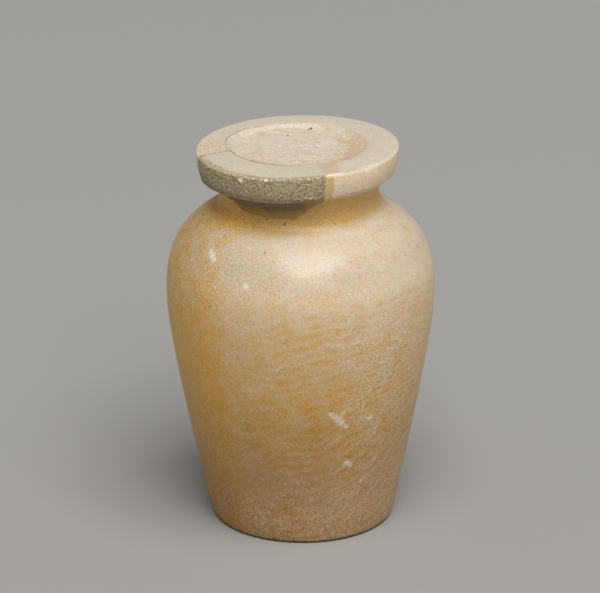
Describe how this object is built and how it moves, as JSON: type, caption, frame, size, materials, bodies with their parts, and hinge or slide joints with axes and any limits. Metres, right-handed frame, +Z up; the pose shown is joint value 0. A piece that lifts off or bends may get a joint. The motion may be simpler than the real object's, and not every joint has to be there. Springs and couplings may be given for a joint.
{
  "type": "canopic jar",
  "caption": "Miniature stone canopic jar with high shoulder, short neck, broad flat lip mended with mortar, and a dished stone lid let into its mouth.",
  "frame": {"origin": "centre of the underside's plane, under the middle of the whole jar's box", "axes": "+Z up through the jar, -Y towards the viewer who sees the mended lip at front left, +X to that viewer's right"},
  "size_m": [0.0538, 0.0538, 0.0783],
  "materials": {
    "jar_stone": "rubbed, half translucent banded travertine, warm orange tan with greyish cream ripples",
    "repair_mortar": "rough pitted sandy mortar, smooth cream on top and dark with dirt below",
    "lid_stone": "matt cream travertine with fine speckles"
  },
  "bodies": {
    "root": {"jar": "jar_stone", "lip_repair": "repair_mortar", "lid": "lid_stone"}
  },
  "joints": []
}
